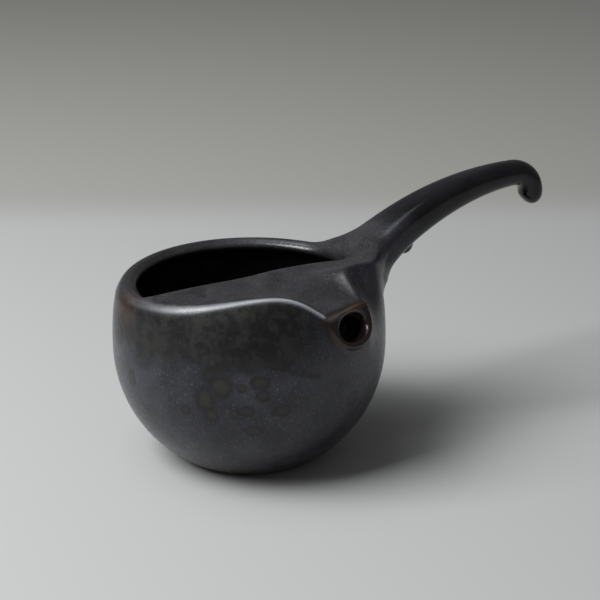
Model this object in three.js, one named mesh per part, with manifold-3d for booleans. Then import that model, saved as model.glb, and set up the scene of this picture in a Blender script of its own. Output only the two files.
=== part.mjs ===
import * as THREE from 'three';
import Module from 'manifold-3d';

// Lidless side-handle teapot in glazed stoneware: a thrown ball-shaped bowl, a turned-in
// shoulder with a broad front shelf, a pinched spout, a clay strainer behind it, and a
// hooked handle with a small finger rest. Millimetres and degrees, +Z up. The origin is
// the middle of the flat base. The spout points along -Y, and azimuths are measured from
// it towards +X, so a positive azimuth is on the handle's side.

// Bowl
const bellyRadius = 48;
const bellyHeight = 41;
const wallThickness = 3.8;
const floorThickness = 4.5;
const upperWallPower = 2.6;
const baseEdgeRound = 1.2;

// Rim, and the crease where the shoulder folds over
const rimHeight = 64;
const rimInset = 2.7;
const rimWidth = 6.6;
const rimRound = 5.4;
const rimCrown = 0.8;

// Front crests of the crease, left and right of the spout
const leftCrestRise = 5.8;
const leftCrestAzimuth = -42;
const rightCrestRise = 8;
const rightCrestAzimuth = 20;
const crestSpread = 50;
const crestRound = 2.6;
const leftPinch = 4.6;
const leftPinchAzimuth = -45;
const leftPinchSpread = 30;
const rightPinch = 11;
const rightPinchAzimuth = 26;
const rightPinchSpread = 13;

// Shelf between the mouth and the crease
const shelfAzimuth = -20;
const mouthFront = 7.2;
const mouthCornerPower = 7;
const shelfRise = 5.3;
const shelfRiseAzimuth = 10;
const shelfSpread = 88;
const shelfFlatness = 2;
const shelfThickness = 3.6;
const shelfDish = 1.2;
const lipRound = 1.3;

// Beak that the crease runs down to
const beakReach = 5.6;
const beakSpread = 16.3;
const beakDrop = 15.5;
const beakDropSpread = 18.3;
const beakSwell = 2;
const beakSwellSpread = 15;

// Spout
const spoutTilt = 28;
const spoutRoll = 4;
const spoutTopInset = 2;
const spoutTopDrop = 0.7;
const spoutHalfWidth = 10.3;
const spoutBulge = 0.8;
const spoutDrop = 12.7;
const spoutDepth = 9;
const spoutLipRound = 1.4;
const spoutCollar = 2;
const boreDrop = 5.5;
const boreHalfWidth = 5.6;
const boreHalfHeight = 3.8;
const boreFlare = 1.5;

// Strainer
const strainerRadius = 10;
const strainerThickness = 2.4;
const strainerDepth = 7.5;
const strainerHoleRadius = 1;
const strainerHolePitch = 3.7;
const strainerHoleRings = 2;

// Handle
const handleAzimuth = 72;
const handleReach = 125.6;
const handleRootDrop = 0.6;
const handleRise = 37;
const handleHalfWidth = 8.4;
const handleTopRise = 5.6;
const handleUnderDrop = 6.2;
const handleTipRadius = 4.6;
const hookRadius = 8.9;
const hookTurn = 88;
const rootFlareSide = 4.6;
const rootFlareUnder = 7.5;
const rootFlareLength = 9;

// Finger rest under the handle
const fingerRestPlace = 15;
const fingerRestLength = 9;
const fingerRestHalfWidth = 3.2;
const fingerRestDrop = 3.6;

// Clearance between pieces that are luted together
const seamGap = 0.3;

// Facet counts
const columnsRound = 80;
const sectionSides = 18;

const { degToRad, lerp } = THREE.MathUtils;
const wasm = await Module();
wasm.setup();

// A smooth hump of height 1 at its centre
function hump(x, centre, spread) {
  return Math.exp(-(((x - centre) / spread) ** 2));
}

// The point at an azimuth, a distance from the axis and a height above the table
function polarPoint(azimuth, radius, height) {
  const angle = degToRad(azimuth);
  return new THREE.Vector3(radius * Math.sin(angle), -radius * Math.cos(angle), height);
}

const azimuths = Array.from({ length: columnsRound }, (_, i) => -180 + (360 * i) / columnsRound);

// Closed solid from columns of points. With poles, all columns share their first and
// last point. Without, each column is a closed profile and the solid is a ring.
function loftSolid(columns, withPoles) {
  const rows = columns[0].length;
  const vertices = [];
  const triangles = [];
  const vertexAt = (i, j) => {
    if (withPoles && j === 0) return 0;
    if (withPoles && j === rows - 1) return 1;
    const column = i % columns.length;
    const row = j % rows;
    return withPoles ? 2 + column * (rows - 2) + row - 1 : column * rows + row;
  };
  if (withPoles) {
    vertices.push(...columns[0][0].toArray(), ...columns[0][rows - 1].toArray());
  }
  for (const column of columns) {
    const shown = withPoles ? column.slice(1, -1) : column;
    for (const point of shown) vertices.push(...point.toArray());
  }
  const lastRow = withPoles ? rows - 1 : rows;
  for (let i = 0; i < columns.length; i += 1) {
    for (let j = 0; j < lastRow; j += 1) {
      const corners = [vertexAt(i, j), vertexAt(i + 1, j), vertexAt(i + 1, j + 1), vertexAt(i, j + 1)];
      if (corners[0] !== corners[1]) triangles.push(corners[0], corners[1], corners[2]);
      if (corners[2] !== corners[3]) triangles.push(corners[0], corners[2], corners[3]);
    }
  }
  return new wasm.Manifold(new wasm.Mesh({
    numProp: 3,
    vertProperties: new Float32Array(vertices),
    triVerts: new Uint32Array(triangles),
  }));
}

// Crease: where the wall turns over into the shoulder
function creaseRadius(azimuth) {
  const free = bellyRadius - rimInset
    - leftPinch * hump(azimuth, leftPinchAzimuth, leftPinchSpread)
    - rightPinch * hump(azimuth, rightPinchAzimuth, rightPinchSpread)
    + beakReach * hump(azimuth, 0, beakSpread);
  const acrossSpout = Math.cos(degToRad(azimuth));
  return acrossSpout > 0 ? Math.min(free, (bellyRadius - spoutTopInset) / acrossSpout) : free;
}

// How far the crease is lifted above the rim
function crestLift(azimuth) {
  return leftCrestRise * hump(azimuth, leftCrestAzimuth, crestSpread)
    + rightCrestRise * hump(azimuth, rightCrestAzimuth, crestSpread);
}

function creaseHeight(azimuth) {
  const dipped = rimHeight + crestLift(azimuth) - beakDrop * hump(azimuth, 0, beakDropSpread);
  return Math.max(dipped, rimHeight - spoutTopDrop);
}

// 0 along the back rim, 1 along the front
function frontness(azimuth) {
  return Math.min(1, crestLift(azimuth) / Math.max(leftCrestRise, rightCrestRise));
}

// Outer wall above the belly, offset outwards by a clearance
function wallRadius(azimuth, height, offset = 0) {
  const share = (height - bellyHeight) / (creaseHeight(azimuth) - bellyHeight);
  const turnIn = (bellyRadius - creaseRadius(azimuth)) * share ** upperWallPower;
  const swell = beakSwell * hump(azimuth, 0, beakSwellSpread) * Math.sin(Math.PI * Math.min(1, share));
  return bellyRadius - turnIn + swell + offset;
}

// Mouth: round at the back, cut off straight by the shelf in front
function lipRadius(azimuth) {
  const round = bellyRadius - rimInset - rimWidth;
  const towardsShelf = Math.max(0, Math.cos(degToRad(azimuth - shelfAzimuth)));
  const power = mouthCornerPower;
  return ((1 / round) ** power + (towardsShelf / mouthFront) ** power) ** (-1 / power);
}

function lipHeight(azimuth) {
  return rimHeight + shelfRise * hump(azimuth, shelfRiseAzimuth, shelfSpread);
}

// Size of the fold at the crease, which leaves some flat beside the lip
function creaseRound(azimuth) {
  const flat = creaseRadius(azimuth) - lipRadius(azimuth) - lipRound;
  return Math.min(lerp(rimRound, crestRound, frontness(azimuth)), flat * 0.8);
}

// Top of the shoulder, at a share of the way from the lip to the crease
function shoulderHeight(azimuth, share) {
  const late = 1 + shelfFlatness * frontness(azimuth);
  const dish = lerp(-rimCrown, shelfDish, frontness(azimuth));
  const straight = lerp(lipHeight(azimuth), creaseHeight(azimuth), share ** late);
  return straight - dish * 4 * share * (1 - share);
}

function seamHeight(azimuth) {
  return creaseHeight(azimuth) - creaseRound(azimuth) - lipRound;
}

// Points of the outside of the shoulder, from the seam up over the crease to the lip
const foldSteps = 4;
const shelfSteps = 6;

function shoulderOutside(azimuth, offset) {
  const crease = creaseHeight(azimuth);
  const round = creaseRound(azimuth);
  const points = [];
  const inner = lipRadius(azimuth) + lipRound;
  const outer = creaseRadius(azimuth) + offset - round;
  const start = new THREE.Vector2(wallRadius(azimuth, crease - round, offset), crease - round);
  const share = (outer - inner) / (outer + round - inner);
  const end = new THREE.Vector2(outer, shoulderHeight(azimuth, share) + offset);
  const corner = new THREE.Vector2(creaseRadius(azimuth) + offset, crease + offset);
  const fold = new THREE.QuadraticBezierCurve(start, corner, end);
  for (const p of fold.getPoints(foldSteps)) points.push(polarPoint(azimuth, p.x, p.y));
  for (let k = 1; k <= shelfSteps; k += 1) {
    const t = share * (1 - k / shelfSteps);
    const radius = lerp(inner, outer + round, t);
    points.push(polarPoint(azimuth, radius, shoulderHeight(azimuth, t) + offset));
  }
  return points;
}

// Inside of the wall and the underside of the shelf, from the lip out and down to the seam
function shoulderInside(azimuth, offset) {
  const thickness = wallThickness + offset;
  const under = shelfThickness + offset;
  const inner = lipRadius(azimuth) + lipRound;
  const outer = creaseRadius(azimuth);
  const seam = seamHeight(azimuth);
  const wallTop = new THREE.Vector2(wallRadius(azimuth, seam) - thickness, seam);
  const shareAt = (radius) => Math.min(1, Math.max(0, (radius - inner) / (outer - inner)));
  const cornerRadius = wallTop.x - rimRound / 2;
  const points = [];
  for (let k = 0; k <= shelfSteps; k += 1) {
    const radius = lerp(inner, Math.max(inner + lipRound, cornerRadius), k / shelfSteps);
    points.push(polarPoint(azimuth, radius, shoulderHeight(azimuth, shareAt(radius)) - under));
  }
  points.push(polarPoint(azimuth, wallTop.x, wallTop.y));
  return points;
}

function shoulderColumn(azimuth) {
  const outside = shoulderOutside(azimuth, 0);
  const inside = shoulderInside(azimuth, 0);
  const seam = seamHeight(azimuth);
  const lip = lipRadius(azimuth);
  const top = lipHeight(azimuth);
  const foot = polarPoint(azimuth, wallRadius(azimuth, seam), seam + seamGap);
  inside[inside.length - 1].z += seamGap;
  return [
    foot,
    ...outside,
    polarPoint(azimuth, lip, top - lipRound),
    polarPoint(azimuth, lip, top - shelfThickness + lipRound),
    ...inside,
  ];
}

// Bowl below the seam
const lowerSteps = 7;
const upperSteps = 5;

function bowlOutside(azimuth, offset, top) {
  const baseAngle = Math.asin(bellyHeight / bellyRadius);
  const baseRadius = bellyRadius * Math.cos(baseAngle);
  const points = [
    polarPoint(azimuth, 0, -offset),
    polarPoint(azimuth, baseRadius - baseEdgeRound + offset, -offset),
  ];
  for (let k = 0; k <= lowerSteps; k += 1) {
    const angle = -baseAngle * (1 - k / lowerSteps) * (1 - baseEdgeRound / bellyRadius);
    const radius = (bellyRadius + offset) * Math.cos(angle);
    points.push(polarPoint(azimuth, radius, bellyHeight + bellyRadius * Math.sin(angle)));
  }
  for (let k = 1; k <= upperSteps; k += 1) {
    const height = lerp(bellyHeight, top, k / upperSteps);
    points.push(polarPoint(azimuth, wallRadius(azimuth, height, offset), height));
  }
  return points;
}

function bowlInside(azimuth, offset, top) {
  const thickness = wallThickness + offset;
  const insideRadius = bellyRadius - thickness;
  const floorAngle = Math.asin((bellyHeight - floorThickness - offset) / insideRadius);
  const points = [];
  for (let k = 0; k <= upperSteps; k += 1) {
    const height = lerp(top, bellyHeight, k / upperSteps);
    points.push(polarPoint(azimuth, wallRadius(azimuth, height) - thickness, height));
  }
  for (let k = 1; k <= lowerSteps; k += 1) {
    const angle = (-floorAngle * k) / lowerSteps;
    points.push(polarPoint(azimuth, insideRadius * Math.cos(angle), bellyHeight + insideRadius * Math.sin(angle)));
  }
  points.push(polarPoint(azimuth, 0, floorThickness + offset));
  return points;
}

const bowlBody = loftSolid(azimuths.map((azimuth) => {
  const top = seamHeight(azimuth);
  return [...bowlOutside(azimuth, 0, top), ...bowlInside(azimuth, 0, top)];
}), true);

const shoulderBody = loftSolid(azimuths.map(shoulderColumn), false);

// Outer envelope of the whole body, closed over the mouth
function envelope(offset) {
  return loftSolid(azimuths.map((azimuth) => [
    ...bowlOutside(azimuth, offset, seamHeight(azimuth)),
    ...shoulderOutside(azimuth, offset),
    polarPoint(azimuth, 0, rimHeight + shelfRise),
  ]), true);
}

// Space inside the body, closed over the mouth
function cavity(offset) {
  return loftSolid(azimuths.map((azimuth) => [
    ...bowlInside(azimuth, offset, seamHeight(azimuth)).reverse(),
    ...shoulderInside(azimuth, offset).reverse().slice(1),
    polarPoint(azimuth, 0, rimHeight - shelfThickness),
  ]), true);
}

// Spout frame: the middle of the tip's top edge, the way the tip faces, and up along it
const tiltAngle = degToRad(spoutTilt);
const tipTop = new THREE.Vector3(0, spoutTopInset - bellyRadius, rimHeight - spoutTopDrop);
const tipFacing = new THREE.Vector3(0, -Math.cos(tiltAngle), Math.sin(tiltAngle));
const tipSide = new THREE.Vector3(1, 0, 0).applyAxisAngle(tipFacing, degToRad(spoutRoll));
const tipUp = new THREE.Vector3().crossVectors(tipFacing, tipSide);

function spoutPoint(side, up, out) {
  return tipTop.clone()
    .addScaledVector(tipSide, side)
    .addScaledVector(tipUp, up)
    .addScaledVector(tipFacing, out);
}

// D-shaped outline, flat along the top, grown on all sides by a margin
function spoutOutline(margin) {
  const points = [];
  for (let i = 0; i < sectionSides; i += 1) {
    const angle = (2 * Math.PI * i) / sectionSides;
    const side = Math.cos(angle);
    const up = Math.sin(angle);
    const height = up > 0 ? spoutBulge : spoutDrop;
    const corner = up > 0 ? 0.5 : 0.86;
    points.push([
      (spoutHalfWidth + margin) * Math.sign(side) * Math.abs(side) ** corner,
      (height + margin) * Math.sign(up) * Math.abs(up) ** corner,
    ]);
  }
  return points;
}

function boreOutline(margin) {
  return Array.from({ length: sectionSides }, (_, i) => {
    const angle = (2 * Math.PI * i) / sectionSides;
    const up = (boreHalfHeight + margin) * Math.sin(angle);
    return [(boreHalfWidth + margin) * Math.cos(angle), up - boreDrop];
  });
}

// Solid through outlines placed along the spout's axis, with flat ends
function spoutSolid(outlines, places) {
  const columns = outlines[0].map((_, i) => [
    spoutPoint(0, -boreDrop, places[0]),
    ...outlines.map((outline, j) => spoutPoint(outline[i][0], outline[i][1], places[j])),
    spoutPoint(0, -boreDrop, places[places.length - 1]),
  ]);
  return loftSolid(columns, true);
}

const spoutTube = spoutSolid(
  [spoutOutline(0), spoutOutline(0), spoutOutline(-spoutLipRound / 4), spoutOutline(-spoutLipRound)],
  [-spoutDepth, -spoutLipRound, -spoutLipRound / 3, 0],
);
const bore = spoutSolid(
  [boreOutline(0), boreOutline(0), boreOutline(boreFlare / 4), boreOutline(boreFlare), boreOutline(boreFlare)],
  [-2 * spoutDepth, -2 * boreFlare, -boreFlare, 0, boreFlare],
);

function spoutSocket(clearance) {
  const outline = spoutOutline(spoutCollar + clearance);
  return spoutSolid([outline, outline], [-spoutDepth - clearance, spoutDepth]);
}

const spout = envelope(0).add(spoutTube).intersect(spoutSocket(0)).subtract(cavity(0)).subtract(bore);
const bowl = bowlBody.subtract(spoutSocket(seamGap));
const shoulder = shoulderBody.subtract(spoutSocket(seamGap));

// Strainer: a pierced dome on the inside of the wall, over the bore
function domeSolid(radius) {
  const rows = 6;
  const columns = Array.from({ length: sectionSides }, (_, i) => {
    const turn = (2 * Math.PI * i) / sectionSides;
    return Array.from({ length: rows + 1 }, (__, j) => {
      const angle = (Math.PI * j) / rows;
      const ring = j === 0 || j === rows ? 0 : radius * Math.sin(angle);
      return spoutPoint(ring * Math.cos(turn), ring * Math.sin(turn) - boreDrop, -strainerDepth - radius * Math.cos(angle));
    });
  });
  return loftSolid(columns, true);
}

function strainerHole(side, up) {
  const outline = Array.from({ length: 10 }, (_, i) => {
    const angle = (2 * Math.PI * i) / 10;
    return [side + strainerHoleRadius * Math.cos(angle), up + strainerHoleRadius * Math.sin(angle)];
  });
  const columns = outline.map(([x, y]) => [
    spoutPoint(side, up, -strainerDepth - 2 * strainerRadius),
    spoutPoint(x, y, -strainerDepth - 2 * strainerRadius),
    spoutPoint(x, y, -strainerDepth),
    spoutPoint(side, up, -strainerDepth),
  ]);
  return loftSolid(columns, true);
}

let strainer = domeSolid(strainerRadius)
  .subtract(domeSolid(strainerRadius - strainerThickness))
  .intersect(cavity(seamGap));
for (let ring = 0; ring <= strainerHoleRings; ring += 1) {
  const count = Math.max(1, 6 * ring);
  for (let k = 0; k < count; k += 1) {
    const turn = (2 * Math.PI * k) / count;
    const reach = ring * strainerHolePitch;
    strainer = strainer.subtract(strainerHole(reach * Math.cos(turn), reach * Math.sin(turn) - boreDrop));
  }
}

// Handle: one long bow out from the belly, then a tight hook
const rootDistance = bellyRadius - rimInset;
const rootHeight = rimHeight - handleRootDrop;
const hookStart = handleReach - handleTipRadius - hookRadius;
const riseAngle = degToRad(handleRise);
const bowRadius = (hookStart - rootDistance) / Math.sin(riseAngle);
const bowLength = bowRadius * riseAngle;
const hookLength = hookRadius * degToRad(hookTurn);

// Distance from the axis, height and slope of the handle's middle line at a length along it
function handleLine(length) {
  if (length < 0) {
    return { distance: rootDistance + length, height: rootHeight + length * Math.sin(riseAngle), slope: riseAngle };
  }
  if (length < bowLength) {
    const slope = riseAngle - length / bowRadius;
    return {
      distance: hookStart - bowRadius * Math.sin(slope),
      height: rootHeight + bowRadius * (Math.cos(slope) - Math.cos(riseAngle)),
      slope,
    };
  }
  const slope = -(length - bowLength) / hookRadius;
  return {
    distance: hookStart - hookRadius * Math.sin(slope),
    height: rootHeight + bowRadius * (1 - Math.cos(riseAngle)) - hookRadius * (1 - Math.cos(slope)),
    slope,
  };
}

// Half sizes of the handle's section at a length along it
function handleSection(length, margin) {
  const flare = Math.exp(-Math.max(-rootFlareLength, length) / rootFlareLength);
  const taper = THREE.MathUtils.smoothstep(length, 0, bowLength + hookLength);
  return {
    side: lerp(handleHalfWidth, handleTipRadius, taper) + rootFlareSide * flare + margin,
    top: lerp(handleTopRise, handleTipRadius, taper) + margin,
    under: lerp(handleUnderDrop, handleTipRadius, taper) + rootFlareUnder * flare + margin,
  };
}

const outward = polarPoint(handleAzimuth, 1, 0);
const sideways = new THREE.Vector3(-outward.y, outward.x, 0);

function handlePoint(line, tilt, side, up) {
  return outward.clone().multiplyScalar(line.distance - up * Math.sin(tilt))
    .addScaledVector(sideways, side)
    .add(new THREE.Vector3(0, 0, line.height + up * Math.cos(tilt)));
}

const rootDepth = 7;
const handleRings = 26;
const tipRings = 4;

function handleSolid(margin) {
  const total = bowLength + hookLength;
  const stations = [];
  for (let k = 0; k <= handleRings; k += 1) {
    stations.push({ length: lerp(-rootDepth, total, k / handleRings), shrink: 1 });
  }
  for (let k = 1; k < tipRings; k += 1) {
    const angle = (Math.PI / 2) * (k / tipRings);
    stations.push({ length: total, shrink: Math.cos(angle), beyond: Math.sin(angle) });
  }
  const rings = stations.map(({ length, shrink, beyond = 0 }) => {
    const line = handleLine(length);
    const half = handleSection(length, margin);
    const steady = Math.exp(-Math.max(0, length + rootDepth) / (1.5 * rootFlareLength));
    const tilt = line.slope * (1 - (line.slope > 0 ? steady : 0));
    line.distance += beyond * half.top * Math.cos(line.slope);
    line.height += beyond * half.top * Math.sin(line.slope);
    const ring = [];
    for (let i = 0; i < sectionSides; i += 1) {
      const angle = (2 * Math.PI * i) / sectionSides;
      const side = Math.cos(angle);
      const up = Math.sin(angle);
      const square = 0.72;
      const across = half.side * Math.sign(side) * Math.abs(side) ** square;
      const along = (up > 0 ? half.top : half.under) * Math.sign(up) * Math.abs(up) ** square;
      ring.push(handlePoint(line, tilt, across * shrink, along * shrink));
    }
    return ring;
  });
  const first = handleLine(-rootDepth);
  const last = handleLine(total);
  const tip = handleSection(total, margin).top;
  last.distance += tip * Math.cos(last.slope);
  last.height += tip * Math.sin(last.slope);
  const columns = rings[0].map((_, i) => [
    handlePoint(first, 0, 0, 0),
    ...rings.map((ring) => ring[i]),
    handlePoint(last, 0, 0, 0),
  ]);
  return loftSolid(columns, true);
}

const handle = handleSolid(0).subtract(envelope(seamGap));

// Finger rest: a small pointed drop of clay under the handle
function fingerRestSolid() {
  const rings = 6;
  const columns = Array.from({ length: sectionSides }, (_, i) => {
    const turn = (2 * Math.PI * i) / sectionSides;
    const line = handleLine(fingerRestPlace);
    const under = handleSection(fingerRestPlace, 0).under;
    const start = -under + handleUnderDrop / 2;
    const reach = fingerRestDrop + handleUnderDrop / 2;
    return Array.from({ length: rings + 2 }, (__, j) => {
      const share = Math.max(0, (j - 1) / rings);
      const wide = j === 0 || j === rings + 1 ? 0 : Math.sqrt(1 - share ** 2);
      const along = (fingerRestLength / 2) * Math.sin(turn) * wide;
      const centre = { distance: line.distance + along, height: line.height + along * Math.sin(line.slope) };
      return handlePoint(centre, line.slope, fingerRestHalfWidth * Math.cos(turn) * wide, start - reach * share);
    });
  });
  return loftSolid(columns, true);
}

const fingerRest = fingerRestSolid().subtract(handleSolid(seamGap));

// Assembly
const pot = new THREE.Group();

function addPiece(name, solid, colour, roughness, metalness) {
  const mesh = solid.getMesh();
  const geometry = new THREE.BufferGeometry();
  geometry.setAttribute('position', new THREE.BufferAttribute(new Float32Array(mesh.vertProperties), 3));
  geometry.setIndex(new THREE.BufferAttribute(new Uint32Array(mesh.triVerts), 1));
  geometry.computeVertexNormals();
  const piece = new THREE.Mesh(geometry, new THREE.MeshStandardMaterial({ color: colour, roughness, metalness }));
  piece.name = name;
  pot.add(piece);
}

addPiece('bowl', bowl, 0x34343a, 0.4, 0.5);
addPiece('shoulder', shoulder, 0x3a3836, 0.4, 0.45);
addPiece('spout', spout, 0x3b2f2a, 0.35, 0.4);
addPiece('strainer', strainer, 0x1c1b1d, 0.45, 0.3);
addPiece('handle', handle, 0x1d1c1e, 0.3, 0.4);
addPiece('finger_rest', fingerRest, 0x1d1c1e, 0.3, 0.4);

export default pot;
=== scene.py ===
import bmesh
import bpy
import math
import numpy as np
import openvdb
from mathutils import Matrix, Vector


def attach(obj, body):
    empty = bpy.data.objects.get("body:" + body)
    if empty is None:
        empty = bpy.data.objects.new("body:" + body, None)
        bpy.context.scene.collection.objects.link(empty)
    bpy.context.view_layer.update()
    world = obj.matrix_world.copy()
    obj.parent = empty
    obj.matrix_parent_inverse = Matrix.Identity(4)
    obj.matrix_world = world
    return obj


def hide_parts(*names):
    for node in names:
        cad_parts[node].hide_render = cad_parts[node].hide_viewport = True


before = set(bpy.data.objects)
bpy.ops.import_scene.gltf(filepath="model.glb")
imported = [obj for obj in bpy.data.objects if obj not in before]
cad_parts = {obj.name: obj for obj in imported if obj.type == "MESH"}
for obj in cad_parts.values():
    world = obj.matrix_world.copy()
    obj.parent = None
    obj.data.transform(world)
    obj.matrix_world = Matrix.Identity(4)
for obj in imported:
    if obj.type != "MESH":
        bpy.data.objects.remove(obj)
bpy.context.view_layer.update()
scene = bpy.context.scene
collection = scene.collection

# The bowl's form. A ball of clay thrown on a wheel, with a flat base, whose wall turns in above
# the belly towards the fold. Lengths are in millimetres, and azimuths in degrees from the spout
# towards the handle's side. A pinch, crest, dip or swell is its size, its azimuth and its spread.
BELLY_RADIUS = 48.0
BELLY_HEIGHT = 41.0
WALL = 3.8
FLOOR = 4.5
BASE_EDGE_ROUND = 1.6
FLOOR_CORNER_ROUND = 4.0
RIM_HEIGHT = 64.0
RIM_INSET = 2.7
LEFT_PINCH = (4.6, -45, 30)
RIGHT_PINCH = (11, 26, 13)
SPOUT_BEAK = (5.6, 0, 16.3)
FRONT_REACH = 46
LEAST_COSINE = 0.3
LEFT_CREST = (5.8, -42, 50)
RIGHT_CREST = (8, 20, 50)
SPOUT_DIP = (15.5, 0, 18.3)
CREASE_DROP = 0.7
FRONT_SWELL = (2, 0, 15)
TURN_IN_POWER = 2.6
PAST_CREASE = 1.3
HALF_STEP = 0.5


def hump(x, centre, spread):
    return np.exp(-(((x - centre) / spread) ** 2))


def raised(azimuth, size, centre, spread):
    return size * hump(azimuth, centre, spread)


def crease_radius(azimuth):
    free = BELLY_RADIUS - RIM_INSET - raised(azimuth, *LEFT_PINCH) - raised(azimuth, *RIGHT_PINCH)
    free = free + raised(azimuth, *SPOUT_BEAK)
    across = np.maximum(np.cos(np.radians(azimuth)), LEAST_COSINE)
    return np.minimum(free, FRONT_REACH / across)


def crest_lift(azimuth):
    return raised(azimuth, *LEFT_CREST) + raised(azimuth, *RIGHT_CREST)


def crease_height(azimuth):
    dipped = RIM_HEIGHT + crest_lift(azimuth) - raised(azimuth, *SPOUT_DIP)
    return np.maximum(dipped, RIM_HEIGHT - CREASE_DROP)


def wall_radius(azimuth, height):
    share = (height - BELLY_HEIGHT) / (crease_height(azimuth) - BELLY_HEIGHT)
    share = np.clip(share, 0, PAST_CREASE)
    turned_in = (BELLY_RADIUS - crease_radius(azimuth)) * share ** TURN_IN_POWER
    swell = raised(azimuth, *FRONT_SWELL) * np.sin(np.pi * np.minimum(1, share))
    return BELLY_RADIUS - turned_in + swell


def true_distance(gap, *slopes):
    return gap / np.sqrt(1 + sum(s * s for s in slopes))


def bend_of(before, after, radius):
    """Slope round the pot, from the values half a step before and after an azimuth."""
    return np.degrees(after - before) / radius


def wall_distance(azimuth, radius, z, thickness=0.0):
    wall = wall_radius(azimuth, z) - thickness
    rise = wall_radius(azimuth, z + HALF_STEP) - wall_radius(azimuth, z - HALF_STEP)
    bend = bend_of(wall_radius(azimuth - HALF_STEP, z), wall_radius(azimuth + HALF_STEP, z), radius)
    upper = true_distance(radius - wall, rise, bend)
    ball = np.hypot(radius, z - BELLY_HEIGHT) - (BELLY_RADIUS - thickness)
    return np.where(z > BELLY_HEIGHT, upper, ball)


# The shoulder's form. The top of the same wall, folded in: a plain rim at the back, and in front
# a broad dished shelf behind the crease. The mouth is cut off straight in front and is round at
# the back.
RIM_WIDTH = 6.6
LIP_ROUND = 1.3
ROUND_LIP = BELLY_RADIUS - RIM_INSET - RIM_WIDTH
SHELF_THICKNESS = 3.6
SHELF_AZIMUTH = -20
SHELF_RISE = 4.6
SHELF_TILT = 0.7
SHELF_POWER = 4
PAST_SHELF = 1.15
RIM_CROWN = 0.8
FRONT_DISH = 2.0
FULL_LIFT = 8
BACK_ROUND = 5.2
FRONT_ROUND_LOSS = 3.7
ROUND_SHARE = 0.8
LEAST_ROUND = 0.8
MOUTH_FRONT = 7.4
MOUTH_POWER = 3
MOUTH_FOOT = 48
MOUTH_EDGE_ROUND = 2.2
UNDER_SHELF_ROUND = 5.0


def frontness(azimuth):
    return np.minimum(1, crest_lift(azimuth) / FULL_LIFT)


def lip_radius(azimuth):
    towards_shelf = np.maximum(0, np.cos(np.radians(azimuth - SHELF_AZIMUTH)))
    both = (1 / ROUND_LIP) ** MOUTH_POWER + (towards_shelf / MOUTH_FRONT) ** MOUTH_POWER
    return both ** (-1 / MOUTH_POWER)


def crease_round(azimuth):
    flat = crease_radius(azimuth) - lip_radius(azimuth) - LIP_ROUND
    return np.minimum(BACK_ROUND - FRONT_ROUND_LOSS * frontness(azimuth), flat * ROUND_SHARE)


def seam_height(azimuth):
    return crease_height(azimuth) - crease_round(azimuth) - LIP_ROUND


def top_height(azimuth, radius):
    inner = lip_radius(azimuth) + LIP_ROUND
    share = np.clip((radius - inner) / (crease_radius(azimuth) - inner), 0, PAST_SHELF)
    shelf = 1 - (lip_radius(azimuth) / ROUND_LIP) ** SHELF_POWER
    tilt = SHELF_TILT * np.sin(np.radians(azimuth - SHELF_AZIMUTH))
    lip = RIM_HEIGHT + (SHELF_RISE + tilt) * shelf
    dish = -RIM_CROWN + FRONT_DISH * frontness(azimuth)
    straight = lip + (crease_height(azimuth) - lip) * share ** (1 + 2 * frontness(azimuth))
    return straight - dish * 4 * share * (1 - share)


def top_distance(azimuth, radius, z, thickness=0.0):
    top = top_height(azimuth, radius) - thickness
    out = top_height(azimuth, radius + HALF_STEP) - top_height(azimuth, radius - HALF_STEP)
    before, after = top_height(azimuth - HALF_STEP, radius), top_height(azimuth + HALF_STEP, radius)
    return true_distance(z - top, out, bend_of(before, after, radius))


def smooth_max(a, b, k):
    h = np.maximum(k - np.abs(a - b), 0) / k
    return np.maximum(a, b) + h * h * k / 4


def smooth_min(a, b, k):
    return -smooth_max(-a, -b, k)


def turned(x, y):
    """Azimuth and radius of a place."""
    return np.degrees(np.arctan2(x, -y)), np.maximum(np.hypot(x, y), 1e-3)


def body_outside(x, y, z):
    azimuth, radius = turned(x, y)
    fold = np.maximum(crease_round(azimuth), LEAST_ROUND)
    shell = smooth_max(wall_distance(azimuth, radius, z), top_distance(azimuth, radius, z), fold)
    return smooth_max(shell, -z, BASE_EDGE_ROUND)


def body_inside(x, y, z):
    azimuth, radius = turned(x, y)
    wall = wall_distance(azimuth, radius, z, WALL)
    under = top_distance(azimuth, radius, z, SHELF_THICKNESS)
    hollow = smooth_max(smooth_max(wall, under, UNDER_SHELF_ROUND), FLOOR - z, FLOOR_CORNER_ROUND)
    bend = bend_of(lip_radius(azimuth - HALF_STEP), lip_radius(azimuth + HALF_STEP), radius)
    mouth = np.maximum(true_distance(radius - lip_radius(azimuth), bend), MOUTH_FOOT - z)
    return smooth_min(hollow, mouth, MOUTH_EDGE_ROUND)


# The spout's form. A short tip of clay, flat above and round below like a letter D, with a bore
# that flares at its face. Its frame is the middle of the tip's top edge, the way across the tip,
# the way up it and the way it faces.
SPOUT_TILT = math.radians(28)
SPOUT_ROLL = math.radians(4)
SPOUT_HALF_WIDTH = 10.3
SPOUT_ABOVE = 0.8
SPOUT_BELOW = 12.7
SPOUT_DEPTH = 9.0
SPOUT_TOP_POWER = 4.0
SPOUT_UNDER_POWER = 2.3
SPOUT_SCALE_MARGIN = 3
SPOUT_FIELD_LIMIT = 20
SPOUT_LIP_ROUND = 1.8
SPOUT_BACK_ROUND = 1.0
BORE_DROP = 5.5
BORE_HALF_WIDTH = 5.6
BORE_HALF_HEIGHT = 3.8
BORE_SIDE_FLARE = 2.0
BORE_HEIGHT_FLARE = 1.3
BORE_FLARE_LENGTH = 2.6
BORE_DEPTH = 20
TIP = np.array([0, -46.0, 63.3])
FACING = np.array([0, -math.cos(SPOUT_TILT), math.sin(SPOUT_TILT)])
SIDE = np.array(Matrix.Rotation(SPOUT_ROLL, 3, Vector(FACING)) @ Vector((1, 0, 0)))
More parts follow.
